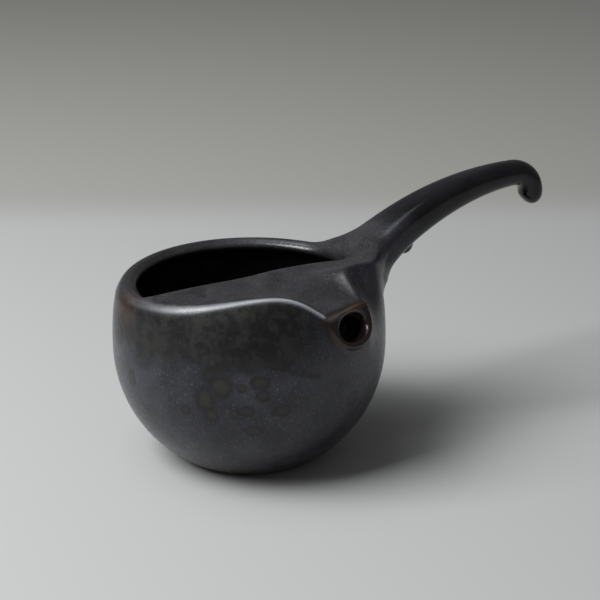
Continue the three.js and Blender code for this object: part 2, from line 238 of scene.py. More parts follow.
UP = np.cross(FACING, SIDE)


def in_spout(x, y, z):
    dx, dy, dz = x - TIP[0], y - TIP[1], z - TIP[2]
    return [dx * axis[0] + dy * axis[1] + dz * axis[2] for axis in (SIDE, UP, FACING)]


def spout_distance(x, y, z):
    side, up, out = in_spout(x, y, z)
    high = np.where(up > 0, SPOUT_ABOVE, SPOUT_BELOW)
    power = np.where(up > 0, SPOUT_TOP_POWER, SPOUT_UNDER_POWER)
    ring = ((np.abs(side) / SPOUT_HALF_WIDTH) ** power + (np.abs(up) / high) ** power) ** (1 / power)
    scale = np.minimum(SPOUT_HALF_WIDTH, high + SPOUT_SCALE_MARGIN)
    faced = smooth_max(np.minimum((ring - 1) * scale, SPOUT_FIELD_LIMIT), out, SPOUT_LIP_ROUND)
    return smooth_max(faced, -SPOUT_DEPTH - out, SPOUT_BACK_ROUND)


def bore_distance(x, y, z):
    side, up, out = in_spout(x, y, z)
    flare = np.exp(np.minimum(out, 0) / BORE_FLARE_LENGTH)
    wide = BORE_HALF_WIDTH + BORE_SIDE_FLARE * flare
    high = BORE_HALF_HEIGHT + BORE_HEIGHT_FLARE * flare
    across = np.hypot(side / wide, (up + BORE_DROP) / high)
    return np.maximum((across - 1) * high, -BORE_DEPTH - out)


# The handle's form. A strap of clay at one side of the spout: a long bow out from the belly, with
# a flared root, and then a tight hook. Its section runs from a rounded square to nearly a circle.
HANDLE_AZIMUTH = 72
HANDLE_REACH = 125.6
HANDLE_RISE = math.radians(37)
HANDLE_START = 38
ROOT_DISTANCE = 45.3
ROOT_HEIGHT = 63.4
ROOT_LENGTH = 9
HALF_SIDE = 8.4
TOP_RISE = 5.6
UNDER_DROP = 7.3
UNDER_TAPER_POWER = 1.5
SIDE_FLARE = 4.6
UNDER_FLARE = 1.6
ROOT_SQUARENESS = 3.4
SQUARENESS_LOSS = 1.3
TIP_RADIUS = 4.6
HOOK_RADIUS = 8.9
HOOK_TURN = math.radians(88)
HOOK_WRAP = -1.6
HOOK_START = HANDLE_REACH - TIP_RADIUS - HOOK_RADIUS
BOW_RADIUS = (HOOK_START - ROOT_DISTANCE) / math.sin(HANDLE_RISE)
BOW_LENGTH = BOW_RADIUS * HANDLE_RISE
TOTAL_LENGTH = BOW_LENGTH + HOOK_RADIUS * HOOK_TURN
ARCH_HEIGHT = ROOT_HEIGHT + BOW_RADIUS * (1 - math.cos(HANDLE_RISE))
OUTWARD = np.array([math.sin(math.radians(HANDLE_AZIMUTH)), -math.cos(math.radians(HANDLE_AZIMUTH)), 0])
ACROSS = np.array([-OUTWARD[1], OUTWARD[0], 0])


def along_and_above(out, z):
    """Length along the handle's line from its root, and height above that line."""
    bow_drop = z - (ARCH_HEIGHT - BOW_RADIUS)
    bow_length = (np.arctan2(out - HOOK_START, bow_drop) + HANDLE_RISE) * BOW_RADIUS
    bow_up = np.hypot(out - HOOK_START, bow_drop) - BOW_RADIUS
    hook_drop = z - (ARCH_HEIGHT - HOOK_RADIUS)
    hook_angle = np.arctan2(out - HOOK_START, hook_drop)
    hook_angle = np.where(hook_angle < HOOK_WRAP, hook_angle + 2 * np.pi, hook_angle)
    hook_up = np.hypot(out - HOOK_START, hook_drop) - HOOK_RADIUS
    on_hook = out > HOOK_START
    length = np.where(on_hook, BOW_LENGTH + hook_angle * HOOK_RADIUS, bow_length)
    return length, np.where(on_hook, hook_up, bow_up)


def handle_distance(x, y, z):
    out = x * OUTWARD[0] + y * OUTWARD[1]
    side = -x * OUTWARD[1] + y * OUTWARD[0]
    length, up = along_and_above(out, z)
    held = np.clip(length, -ROOT_LENGTH, TOTAL_LENGTH)
    beyond = np.maximum(length - TOTAL_LENGTH, 0)
    flare = np.exp(-np.maximum(held, 0) / ROOT_LENGTH)
    share = np.clip(held / TOTAL_LENGTH, 0, 1)
    taper = share * share * (3 - 2 * share)
    half_side = HALF_SIDE + (TIP_RADIUS - HALF_SIDE) * taper + SIDE_FLARE * flare
    half_top = TOP_RISE + (TIP_RADIUS - TOP_RISE) * taper
    half_under = UNDER_DROP + (TIP_RADIUS - UNDER_DROP) * taper ** UNDER_TAPER_POWER
    half_under = half_under + UNDER_FLARE * flare
    high = np.where(up > 0, half_top, half_under)
    power = ROOT_SQUARENESS - SQUARENESS_LOSS * taper
    ring = (np.abs(side / half_side) ** power + np.abs(up / high) ** power) ** (1 / power)
    ring = np.hypot(ring, beyond / TIP_RADIUS)
    return np.maximum((ring - 1) * np.minimum(half_side, high), HANDLE_START - out)


# The finger rest's form. A small pointed drop of clay pressed on under the handle, near its root.
REST_PLACE = 18
REST_HALF_LENGTH = 4.3
REST_HALF_WIDTH = 3.0
REST_HALF_HEIGHT = 5.9
REST_DROP = 6.2


def finger_rest_distance(x, y, z):
    angle = REST_PLACE / BOW_RADIUS - HANDLE_RISE
    middle = (OUTWARD * (HOOK_START + BOW_RADIUS * math.sin(angle))
              + np.array([0, 0, ARCH_HEIGHT - BOW_RADIUS * (1 - math.cos(angle))]))
    along = OUTWARD * math.cos(angle) - np.array([0, 0, math.sin(angle)])
    above = OUTWARD * math.sin(angle) + np.array([0, 0, math.cos(angle)])
    dx, dy, dz = x - middle[0], y - middle[1], z - middle[2]
    a, b, c = [dx * v[0] + dy * v[1] + dz * v[2] for v in (along, ACROSS, above)]
    level = (a / REST_HALF_LENGTH) ** 2 + (b / REST_HALF_WIDTH) ** 2
    return (np.sqrt(level + ((c + REST_DROP) / REST_HALF_HEIGHT) ** 2) - 1) * REST_HALF_WIDTH


# Luting. Spout, handle and finger rest are joined to the body while it is leather-hard, and the
# joints are smoothed over, so all the clay is one distance field here, meshed once.
SPOUT_FILLET = 1.1
REST_FILLET = 1.6
HANDLE_FILLET = 2.4
ROOT_FILLET = 7.0
ROOT_SPREAD = 30
ROOT_FILLET_HEIGHT = 60
ROOT_FILLET_DEPTH = 12
INSIDE_FILLET = 2.8
BORE_FILLET = 1.4
CLAY_LOW = (-52, -56, -3)
CLAY_HIGH = (125, 52, 96)
VOXEL = 0.75
NARROW_BAND = 3
SETTLING_PASSES = 3
SLOPE_STEP = 0.25
LEAST_SLOPE = 0.2


def clay(x, y, z):
    azimuth, _ = turned(x, y)
    low = np.minimum(z, ROOT_FILLET_HEIGHT)
    near_root = hump(azimuth, HANDLE_AZIMUTH, ROOT_SPREAD) * hump(low, ROOT_FILLET_HEIGHT, ROOT_FILLET_DEPTH)
    held = smooth_min(handle_distance(x, y, z), finger_rest_distance(x, y, z), REST_FILLET)
    solid = smooth_min(body_outside(x, y, z), spout_distance(x, y, z), SPOUT_FILLET)
    solid = smooth_min(solid, held, HANDLE_FILLET + ROOT_FILLET * near_root)
    solid = smooth_max(solid, -body_inside(x, y, z), INSIDE_FILLET)
    return smooth_max(solid, -bore_distance(x, y, z), BORE_FILLET)


def slope_of(field, points):
    columns = []
    for axis in range(3):
        ahead, behind = points.copy(), points.copy()
        ahead[:, axis] += SLOPE_STEP
        behind[:, axis] -= SLOPE_STEP
        columns.append((field(*ahead.T) - field(*behind.T)) / (2 * SLOPE_STEP))
    return np.stack(columns, axis=1)


def field_mesh(name, field, low, high, voxel):
    """Closed mesh of a field's zero surface, in metres, its points moved on to the surface."""
    axes = [np.arange(a, b + voxel, voxel) for a, b in zip(low, high)]
    values = np.empty([len(a) for a in axes], dtype=np.float32)
    gy, gz = np.meshgrid(axes[1], axes[2], indexing="ij")
    for i, x in enumerate(axes[0]):
        values[i] = field(np.full_like(gy, x), gy, gz)
    reach = NARROW_BAND * voxel
    grid = openvdb.FloatGrid(background=float(reach))
    grid.copyFromArray(np.clip(values, -reach, reach))
    points, quads = grid.convertToQuads(0.0)
    points = np.asarray(points, dtype=np.float64) * voxel + np.array(low)
    for _ in range(SETTLING_PASSES):
        slope = slope_of(field, points)
        size = np.maximum((slope ** 2).sum(axis=1), LEAST_SLOPE)
        move = (field(*points.T) / size)[:, None] * slope
        points -= np.clip(move, -voxel / 2, voxel / 2)
    quads = np.asarray(quads, dtype=np.int64)[:, ::-1]
    mesh = bpy.data.meshes.new(name)
    mesh.from_pydata((points / 1000).tolist(), [], quads.tolist())
    mesh.validate()
    first = mesh.polygons[0]
    outward = slope_of(field, np.array([first.center]) * 1000)[0]
    if Vector(outward).dot(first.normal) < 0:
        mesh.flip_normals()
    return mesh


whole = field_mesh("clay", clay, CLAY_LOW, CLAY_HIGH, VOXEL)

# Parting. The clay is cut into the pieces that a potter joins, along the same seams as the
# solids have: the spout's socket, the handle's root, and the seam under the fold.
SEAM_STEP = 3.0
SEAM_FOOT_RADIUS = 36
SEAM_INNER_RADIUS = 40
SEAM_OUTER_RADIUS = 70
SEAM_FOOT = 54
SEAM_TOP = 110
SOCKET_SIDES = 48
SOCKET_MARGIN = 2.0
SOCKET_REACH = 9.0
SOCKET_TOP_CORNER = 0.5
SOCKET_UNDER_CORNER = 0.86
HANDLE_CUT = 44.6
HANDLE_CUT_END = 140
HANDLE_CUT_AXIS = 60.0
HANDLE_CUT_MIDDLE = 66.0
HANDLE_CUT_HALF_WIDTH = 22
HANDLE_CUT_HALF_HEIGHT = 32
BOX_CORNERS = ((-1, -1), (1, -1), (1, 1), (-1, 1))


def new_object(name, mesh):
    made = bpy.data.objects.new(name, mesh)
    collection.objects.link(made)
    return made


def loft(name, columns):
    """Closed mesh through columns of points that share their first and last points."""
    rows = len(columns[0])
    points = [columns[0][0], columns[0][-1]]
    for column in columns:
        points += column[1:-1]
    count = len(columns)

    def at(i, j):
        if j == 0:
            return 0
        return 1 if j == rows - 1 else 2 + (i % count) * (rows - 2) + j - 1

    faces = []
    for i in range(count):
        for j in range(rows - 1):
            ring = [at(i, j), at(i + 1, j), at(i + 1, j + 1), at(i, j + 1)]
            faces.append([p for k, p in enumerate(ring) if p != ring[k - 1]])
    mesh = bpy.data.meshes.new(name)
    mesh.from_pydata([tuple(np.array(p) / 1000) for p in points], [], faces)
    mesh.validate()
    work = bmesh.new()
    work.from_mesh(mesh)
    bmesh.ops.recalc_face_normals(work, faces=work.faces)
    work.to_mesh(mesh)
    work.free()
    return new_object(name, mesh)


def cut_with(source, cutter, operation):
    """A copy of the source mesh after one boolean with the cutter."""
    carrier = new_object("carrier", source)
    boolean = carrier.modifiers.new("cut", "BOOLEAN")
    boolean.object = cutter
    boolean.operation = operation
    boolean.solver = "MANIFOLD"
    bpy.context.view_layer.update()
    graph = bpy.context.evaluated_depsgraph_get()
    result = bpy.data.meshes.new_from_object(carrier.evaluated_get(graph))
    bpy.data.objects.remove(carrier)
    return result


def seam_column(azimuth):
    """One column of the cutter that holds everything above the fold's seam."""
    seam = float(seam_height(azimuth))
    east, south = math.sin(math.radians(azimuth)), math.cos(math.radians(azimuth))
    profile = ((SEAM_FOOT_RADIUS, SEAM_FOOT), (SEAM_INNER_RADIUS, seam), (SEAM_OUTER_RADIUS, seam),
               (SEAM_OUTER_RADIUS, SEAM_TOP))
    ring = [(radius * east, -radius * south, height) for radius, height in profile]
    return [(0, 0, SEAM_FOOT)] + ring + [(0, 0, SEAM_TOP)]


def socket_column(index):
    """One column of the cutter round the spout, which follows the letter D with a margin."""
    angle = 2 * math.pi * index / SOCKET_SIDES
    side, up = math.cos(angle), math.sin(angle)
    corner = SOCKET_TOP_CORNER if up > 0 else SOCKET_UNDER_CORNER
    high = (SPOUT_ABOVE if up > 0 else SPOUT_BELOW) + SOCKET_MARGIN
    s = (SPOUT_HALF_WIDTH + SOCKET_MARGIN) * math.copysign(abs(side) ** corner, side)
    u = high * math.copysign(abs(up) ** corner, up)
    column = [(0, -BORE_DROP, -SPOUT_DEPTH), (s, u, -SPOUT_DEPTH), (s, u, SOCKET_REACH),
              (0, -BORE_DROP, SOCKET_REACH)]
    return [tuple(TIP + SIDE * p[0] + UP * p[1] + FACING * p[2]) for p in column]


def handle_column(side, up):
    """One corner of the box that holds the handle with its finger rest, beyond the wall."""
    axis = np.array([0, 0, HANDLE_CUT_AXIS])
    edge = np.array([0, 0, HANDLE_CUT_MIDDLE + up * HANDLE_CUT_HALF_HEIGHT])
    edge = edge + ACROSS * side * HANDLE_CUT_HALF_WIDTH
    near, far = OUTWARD * HANDLE_CUT, OUTWARD * HANDLE_CUT_END
    return [tuple(point) for point in (near + axis, near + edge, far + edge, far + axis)]


above_seam = loft("above_seam", [seam_column(azimuth) for azimuth in np.arange(-180, 180, SEAM_STEP)])
socket = loft("spout_socket", [socket_column(index) for index in range(SOCKET_SIDES)])
handle_box = loft("handle_box", [handle_column(side, up) for side, up in BOX_CORNERS])
spout_mesh = cut_with(whole, socket, "INTERSECT")
body_mesh = cut_with(whole, socket, "DIFFERENCE")
handle_mesh = cut_with(body_mesh, handle_box, "INTERSECT")
body_mesh = cut_with(body_mesh, handle_box, "DIFFERENCE")
shoulder_mesh = cut_with(body_mesh, above_seam, "INTERSECT")
bowl_mesh = cut_with(body_mesh, above_seam, "DIFFERENCE")
for cutter in (above_seam, socket, handle_box):
    bpy.data.objects.remove(cutter)

# Shading and marks. Each parted piece is shaded by the field's slope, so that the seams don't
# show, and carries marks of where the glaze changes and of where a highlight and shade are painted,
# so that its colours run on without a break.
LEAST_FACING = 0.45
WALL_EDGE = 1.6
RIDGE_SHARE = 0.32
RIDGE_HIGHLIGHT_WIDTH = 0.75
RIDGE_HIGHLIGHT_PEAK = (-12, 30)
RIDGE_HIGHLIGHT_TAIL = (0.45, -60, 34)
RIDGE_HIGHLIGHT_END = 6
RIGHT_RIDGE_WIDTH = 0.9
RIGHT_RIDGE_BRIGHT = (17, 12)
INSIDE_START = 0.6
INSIDE_FADE = 2
INSIDE_REACH = 1.0
RIM_DEPTH = 2.8
RIM_REACH = 1.35
RIM_FADE = 0.25
RIM_LEAST_HEIGHT = 3.0
BLACK_START = 47
BLACK_LENGTH = 26


def points_of(mesh):
    points = np.empty(len(mesh.vertices) * 3)
    mesh.vertices.foreach_get("co", points)
    return points.reshape(-1, 3) * 1000


def smooth_by_field(mesh, field):
    """Shades by the field's slope on the field's surface. A cut face keeps its flat shading."""
    slope = slope_of(field, points_of(mesh))
    slope /= np.maximum(np.linalg.norm(slope, axis=1, keepdims=True), 1e-6)
    corner_point = np.empty(len(mesh.loops), dtype=np.int64)
    mesh.loops.foreach_get("vertex_index", corner_point)
    faces = np.empty(len(mesh.polygons) * 3)
    mesh.polygons.foreach_get("normal", faces)
    counts = np.empty(len(mesh.polygons), dtype=np.int64)
    mesh.polygons.foreach_get("loop_total", counts)
    flat = np.repeat(faces.reshape(-1, 3), counts, axis=0)
    shaded = slope[corner_point]
    cut = (shaded * flat).sum(axis=1) < LEAST_FACING
    shaded[cut] = flat[cut]
    mesh.polygons.foreach_set("use_smooth", [True] * len(mesh.polygons))
    mesh.normals_split_custom_set(shaded.tolist())


def mark(mesh, name, values):
    made = mesh.attributes.new(name, "FLOAT", "POINT")
    made.data.foreach_set("value", np.ascontiguousarray(values, dtype=np.float32))


def mark_glaze(mesh):
    """Stores the wall below the fold, the fold's ridge on the left, where a highlight is painted, and
    on the right, the inside, where shade is painted, the spout's rim, and how far out a point is along
    the handle."""
    x, y, z = points_of(mesh).T
    azimuth, radius = turned(x, y)
    drop, back = crease_height(azimuth) - z, crease_radius(azimuth) - radius
    mark(mesh, "wall", np.clip(0.5 + (drop - back) / WALL_EDGE, 0, 1))
    near = np.maximum(np.hypot(drop, back) - RIDGE_SHARE * crease_round(azimuth), 0)
    # The left ridge mark is a painted highlight: a pale line along the crease, strongest near the spout.
    highlight_strength = np.clip(hump(azimuth, *RIDGE_HIGHLIGHT_PEAK) + raised(azimuth, *RIDGE_HIGHLIGHT_TAIL), 0, 1)
    left = np.clip((RIDGE_HIGHLIGHT_END - azimuth) / RIDGE_HIGHLIGHT_END, 0, 1)
    mark(mesh, "ridge_highlight", hump(near, 0, RIDGE_HIGHLIGHT_WIDTH) * highlight_strength * left)
    right = hump(azimuth, *RIGHT_RIDGE_BRIGHT) * (azimuth > 0)
    mark(mesh, "right_ridge", hump(near, 0, RIGHT_RIDGE_WIDTH) * right)
    # The inside mark is where shade is painted: the pot's inner wall below the lip, darkened near-black.
    depth = np.clip((top_height(azimuth, radius) - z - INSIDE_START) / INSIDE_FADE, 0, 1)
    mark(mesh, "inside", depth * (np.abs(body_inside(x, y, z)) < INSIDE_REACH))
    side, up, out = in_spout(x, y, z)
    high = np.maximum(np.where(up > 0, SPOUT_ABOVE, SPOUT_BELOW), RIM_LEAST_HEIGHT)
    ring = np.hypot(side / SPOUT_HALF_WIDTH, up / high)
    mark(mesh, "rim", np.clip(out + RIM_DEPTH, 0, 1) * np.clip((RIM_REACH - ring) / RIM_FADE, 0, 1))
    reach = x * OUTWARD[0] + y * OUTWARD[1]
    mark(mesh, "along_handle", np.clip((reach - BLACK_START) / BLACK_LENGTH, 0, 1))


for part_mesh in (spout_mesh, handle_mesh, shoulder_mesh, bowl_mesh):
    smooth_by_field(part_mesh, clay)
    mark_glaze(part_mesh)

# The glaze's grain. One dark metallic glaze covers the whole pot, with clouds, a fine speckle,
# grain and pits. A noise is its scale per metre, its detail and its roughness, and a range is
# where a mask starts and where it is full. A tint is its strength and its colour.
CLOUD_NOISE, CLOUD_RANGE = (75, 5, 0.6), (0.35, 0.68)
SPECKLE_NOISE, SPECKLE_RANGE = (1500, 2, 0.6), (0.58, 0.72)
SPECKLE_COLOUR = (0.34, 0.35, 0.37)
GRAIN_NOISE, GRAIN_RANGE = (520, 4, 0.65), (0.3, 0.7)
GLOSSIER, ROUGHER = 0.05, 0.07
PIT_SCALE, PIT_RANGE, PIT_SHARE = 330, (0.0, 0.16), 0.5
COAT_ROUGHNESS = 0.16
BUMP_STRENGTH, BUMP_DISTANCE = 0.12, 0.0004


def node_group(name, inputs, outputs):
    """An empty shader node group, with the sockets that its nodes read and feed."""
    tree = bpy.data.node_groups.new(name, "ShaderNodeTree")
    for socket_name, kind in inputs:
        tree.interface.new_socket(socket_name, in_out="INPUT", socket_type=kind)
    for socket_name, kind in outputs:
        tree.interface.new_socket(socket_name, in_out="OUTPUT", socket_type=kind)
    return tree, tree.nodes.new("NodeGroupInput").outputs, tree.nodes.new("NodeGroupOutput").inputs


def place_group(tree, group, **given):
    """Puts a node group into a tree, wires its named inputs and gives its outputs."""
    node = tree.nodes.new("ShaderNodeGroup")
    node.node_tree = group
    for name, value in given.items():
        tree.links.new(value, node.inputs[name])
    return node.outputs


def noise(tree, vector, scale, detail, rough=0.5):
    node = tree.nodes.new("ShaderNodeTexNoise")
    tree.links.new(vector, node.inputs["Vector"])
    node.inputs["Scale"].default_value = scale
    node.inputs["Detail"].default_value = detail
    node.inputs["Roughness"].default_value = rough
    return node.outputs["Fac"]


def remap(tree, value, low, high, to_low=0.0, to_high=1.0):
    node = tree.nodes.new("ShaderNodeMapRange")
    node.interpolation_type = "SMOOTHSTEP"
    tree.links.new(value, node.inputs["Value"])
    for name, number in (("From Min", low), ("From Max", high), ("To Min", to_low), ("To Max", to_high)):
        node.inputs[name].default_value = number
    return node.outputs["Result"]


def maths(tree, operation, a, b):
    node = tree.nodes.new("ShaderNodeMath")
    node.operation = operation
    for socket_in, value in zip(node.inputs, (a, b)):
        if isinstance(value, (int, float)):
            socket_in.default_value = value
        else:
            tree.links.new(value, socket_in)
    return node.outputs[0]


def times(tree, a, b):
    return maths(tree, "MULTIPLY", a, b)


def blend(tree, factor, a, b):
    node = tree.nodes.new("ShaderNodeMix")
    node.data_type = "RGBA"
    tree.links.new(factor, node.inputs[0])
    for socket_in, value in ((node.inputs[6], a), (node.inputs[7], b)):
        if isinstance(value, tuple):
            socket_in.default_value = (*value, 1)
        else:
            tree.links.new(value, socket_in)
    return node.outputs[2]


def tinted(tree, under, mask, strength, colour):
    return blend(tree, times(tree, mask, strength), under, colour)


def mottle_group():
    outputs = [(name, "NodeSocketFloat") for name in ("Cloud", "Speckle", "Grain", "Pits")]
    tree, given, out = node_group("mottle", [("Vector", "NodeSocketVector")], outputs)
    vector = given["Vector"]
    tree.links.new(remap(tree, noise(tree, vector, *CLOUD_NOISE), *CLOUD_RANGE), out["Cloud"])
    tree.links.new(remap(tree, noise(tree, vector, *SPECKLE_NOISE), *SPECKLE_RANGE), out["Speckle"])
    tree.links.new(noise(tree, vector, *GRAIN_NOISE), out["Grain"])
    cells = tree.nodes.new("ShaderNodeTexVoronoi")
    cells.inputs["Scale"].default_value = PIT_SCALE
    tree.links.new(vector, cells.inputs["Vector"])
    tree.links.new(remap(tree, cells.outputs["Distance"], *PIT_RANGE, 1, 0), out["Pits"])
    return tree


mottle = mottle_group()


def glaze(name, deep, pale, roughness, metallic, speckle, coat, finish=None):
    """A glaze that clouds from deep to pale, with an optional group of finishes laid over it."""
    material = bpy.data.materials.new(name)
    material.use_nodes = True
    tree = material.node_tree
    shader = tree.nodes["Principled BSDF"]
    place = tree.nodes.new("ShaderNodeTexCoord").outputs["Object"]
    grain = place_group(tree, mottle, Vector=place)
    colour = blend(tree, grain["Cloud"], deep, pale)
    colour = tinted(tree, colour, grain["Speckle"], speckle, SPECKLE_COLOUR)
    gloss = remap(tree, grain["Grain"], *GRAIN_RANGE, roughness - GLOSSIER, roughness + ROUGHER)
    if finish:
        laid = place_group(tree, finish, Vector=place, Colour=colour, Gloss=gloss,
                           Cloud=grain["Cloud"], Speckle=grain["Speckle"])
        colour, gloss = laid["Colour"], laid["Gloss"]
    tree.links.new(colour, shader.inputs["Base Color"])
    tree.links.new(gloss, shader.inputs["Roughness"])
    shader.inputs["Metallic"].default_value = metallic
    shader.inputs["Coat Weight"].default_value = coat
    shader.inputs["Coat Roughness"].default_value = COAT_ROUGHNESS
    bump = tree.nodes.new("ShaderNodeBump")
    bump.inputs["Strength"].default_value = BUMP_STRENGTH
    bump.inputs["Distance"].default_value = BUMP_DISTANCE
    relief = maths(tree, "SUBTRACT", grain["Grain"], times(tree, grain["Pits"], PIT_SHARE))
    tree.links.new(relief, bump.inputs["Height"])
    tree.links.new(bump.outputs["Normal"], shader.inputs["Normal"])
    return material


# The glaze's crystals. Round spots that grew in it, mostly on the left of the belly, olive in the
# middle with a dark halo. Each is its place and radius in millimetres and its stretch. An edge
# and a full width are shares of the radius, in metres per millimetre.
CRYSTALS = (
    ((-40.4, -25.8, 43.2), 3.3, (1, 1, 1)), ((-43.1, -21.0, 38.4), 2.7, (1, 1, 0.7)),
    ((-41.5, -22.5, 32.2), 2.0, (1, 1, 1)), ((-32.1, -35.5, 44.8), 2.1, (0.8, 0.8, 1.1)),
    ((-36.3, -31.4, 42.8), 1.3, (1, 1, 1)), ((-31.5, -36.2, 39.8), 1.6, (0.8, 0.8, 1)),
    ((-35.2, -32.0, 34.4), 2.0, (0.8, 0.8, 1.3)), ((-26.1, -39.7, 34.0), 1.9, (0.7, 0.7, 1.2)),
    ((-32.1, -32.6, 26.7), 2.0, (0.7, 0.7, 1.3)), ((-45.2, -14.1, 33.0), 1.4, (1, 1, 1)),
    ((-41.8, -13.4, 60.3), 1.2, (1, 1, 1)), ((-41.1, -19.5, 56.5), 1.2, (1, 1, 1)),
    ((-41.1, -22.6, 51.4), 1.1, (1, 1, 1)), ((-46.8, 10.3, 38.0), 2.0, (1, 1.2, 0.8)),
    ((0.8, -47.1, 31.7), 2.4, (1, 1, 1)),
)
CORE_EDGE, CORE_FULL = 0.00105, 0.0005
HALO_EDGE, HALO_FULL = 0.0017, 0.0009
CRYSTAL_WANDER = (420, 2, 0.0022)


def away_from(tree, vector, point, stretch=(1, 1, 1)):
    """Distance in metres from a point in millimetres, with a stretch along each axis."""
    shift = tree.nodes.new("ShaderNodeVectorMath")
    shift.operation = "SUBTRACT"
    tree.links.new(vector, shift.inputs[0])
    shift.inputs[1].default_value = tuple(p / 1000 for p in point)
    size = tree.nodes.new("ShaderNodeVectorMath")
    size.operation = "MULTIPLY"
    tree.links.new(shift.outputs[0], size.inputs[0])
    size.inputs[1].default_value = stretch
    length = tree.nodes.new("ShaderNodeVectorMath")
    length.operation = "LENGTH"
    tree.links.new(size.outputs[0], length.inputs[0])
    return length.outputs["Value"]


def wander(tree, vector, scale, detail, reach):
    """Noise about zero, with the reach as its whole range."""
    return times(tree, maths(tree, "SUBTRACT", noise(tree, vector, scale, detail), 0.5), reach)


def crystal_group():
    outputs = [("Core", "NodeSocketFloat"), ("Halo", "NodeSocketFloat")]
    tree, given, out = node_group("crystals", [("Vector", "NodeSocketVector")], outputs)
    wobble = wander(tree, given["Vector"], *CRYSTAL_WANDER)
    core, halo = None, None
    for place, radius, stretch in CRYSTALS:
        reach = maths(tree, "ADD", away_from(tree, given["Vector"], place, stretch), wobble)
        spot = remap(tree, reach, radius * CORE_EDGE, radius * CORE_FULL)
        ring = remap(tree, reach, radius * HALO_EDGE, radius * HALO_FULL)
        core = spot if core is None else maths(tree, "MAXIMUM", core, spot)
        halo = ring if halo is None else maths(tree, "MAXIMUM", halo, ring)
    tree.links.new(core, out["Core"])
    tree.links.new(halo, out["Halo"])
    return tree


crystals = crystal_group()

# The glaze's changes over the pot. It is blue-grey on the wall with an olive-black band under the
# fold, brown at the spout's rim and at the foot, and black out along the handle. A highlight is
# painted pale along the ridge on the left, and shade is painted near-black inside the pot. Ranges are
# in metres here, and places and stretches as for the crystals.
WALL_SHADES = (0.015, 0.015, 0.020), (0.036, 0.036, 0.047)
WALL_SPECKLE = 0.24, (0.30, 0.31, 0.34)
LEVEL_WANDER = (110, 4, 0.022)
BAND_HEIGHT = (0.044, 0.051)
BAND_PLACE, BAND_STRETCH, BAND_RANGE = (-40, -14, 60), (1, 1, 1.5), (0.046, 0.03)
BAND_NOISE, BAND_NOISE_RANGE = (260, 4), (0.42, 0.62)
BAND_BLACK, BAND_OLIVE, BAND_STRENGTH = (0.003, 0.003, 0.003), (0.014, 0.0145, 0.011), 0.92
HALO_TINT = 0.88, (0.005, 0.005, 0.006)
CORE_TINT = 0.42, (0.042, 0.042, 0.028)
RUN_START, RUN_WAY, RUN_STRETCH, RUN_DOTS = (-27.5, -38.4, 49.5), (11.6, -6.7, -4.6), (1, 1, 1.6), 7
RUN_EDGE, RUN_GROWTH, RUN_FULL = 0.0019, 0.0016, 0.0007
RUN_TINT = 0.75, (0.004, 0.004, 0.005)
FOOT_HEIGHT = (0.008, 0.001)
FOOT_TINT = 0.6, (0.05, 0.034, 0.024)
PATCH_NOISE, PATCH_NOISE_RANGE, PATCH_SIDE = (150, 3), (0.5, 0.6), (-0.014, -0.03)
PATCH_TINT = 0.75, (0.010, 0.010, 0.011)
RUST_PLACE, RUST_RANGE = (-43, 17, 62), (0.012, 0.002)
RUST_TINT = 0.3, (0.07, 0.026, 0.015)
# The ridge's pale colour is a painted highlight along the crease.
RIDGE_HIGHLIGHT_COLOUR = (0.46, 0.48, 0.51)
RIGHT_RIDGE_TINT = 0.7, (0.030, 0.017, 0.012)
RIM_TINT = 0.9, (0.020, 0.011, 0.008)
POOL_PLACE = tuple(TIP + SIDE * 3)
POOL_STRETCH, POOL_RANGE = (0.5, 1.3, 1.3), (0.0030, 0.001)
POOL_TINT = 0.45, (0.10, 0.07, 0.03)
# Painted shade: near-black over the inside of the pot.
INSIDE_SHADE = 0.9, (0.004, 0.004, 0.005)
HANDLE_WANDER, HANDLE_RANGE = (90, 3, 0.5), (0.1, 0.75)
HANDLE_SHADES = (0.005, 0.005, 0.006), (0.012, 0.012, 0.014)
BAND_ROUGHER, HANDLE_GLOSSIER, RIM_GLOSSIER = 0.15, 0.15, 0.08
TOP_SHADES = (0.024, 0.0235, 0.025), (0.046, 0.045, 0.048)


def marked(tree, name):
    node = tree.nodes.new("ShaderNodeAttribute")
    node.attribute_name = name
    return node.outputs["Fac"]


def dark_run(tree, place):
    """A run of dark glaze down from the fold, as a row of dots that grow and melt together."""
    run = None
    for k in range(RUN_DOTS):
        share = k / (RUN_DOTS - 1)
        spot = tuple(start + way * share for start, way in zip(RUN_START, RUN_WAY))
        reach = away_from(tree, place, spot, RUN_STRETCH)
        dot = remap(tree, reach, RUN_EDGE + RUN_GROWTH * share, RUN_FULL)
        run = dot if run is None else maths(tree, "MAXIMUM", run, dot)
    return run


def wall_finish(tree, place, level, given):
    """The wall's colour, and the mask of the band under the fold."""
    wall = blend(tree, given["Cloud"], *WALL_SHADES)
    wall = tinted(tree, wall, given["Speckle"], *WALL_SPECKLE)
    left = remap(tree, away_from(tree, place, BAND_PLACE, BAND_STRETCH), *BAND_RANGE)
    band = times(tree, remap(tree, level, *BAND_HEIGHT), left)
    olive = remap(tree, noise(tree, place, *BAND_NOISE), *BAND_NOISE_RANGE)
    wall = tinted(tree, wall, band, BAND_STRENGTH, blend(tree, olive, BAND_BLACK, BAND_OLIVE))
    spots = place_group(tree, crystals, Vector=place)
    wall = tinted(tree, wall, spots["Halo"], *HALO_TINT)
    wall = tinted(tree, wall, spots["Core"], *CORE_TINT)
    wall = tinted(tree, wall, dark_run(tree, place), *RUN_TINT)
    return tinted(tree, wall, remap(tree, level, *FOOT_HEIGHT), *FOOT_TINT), band


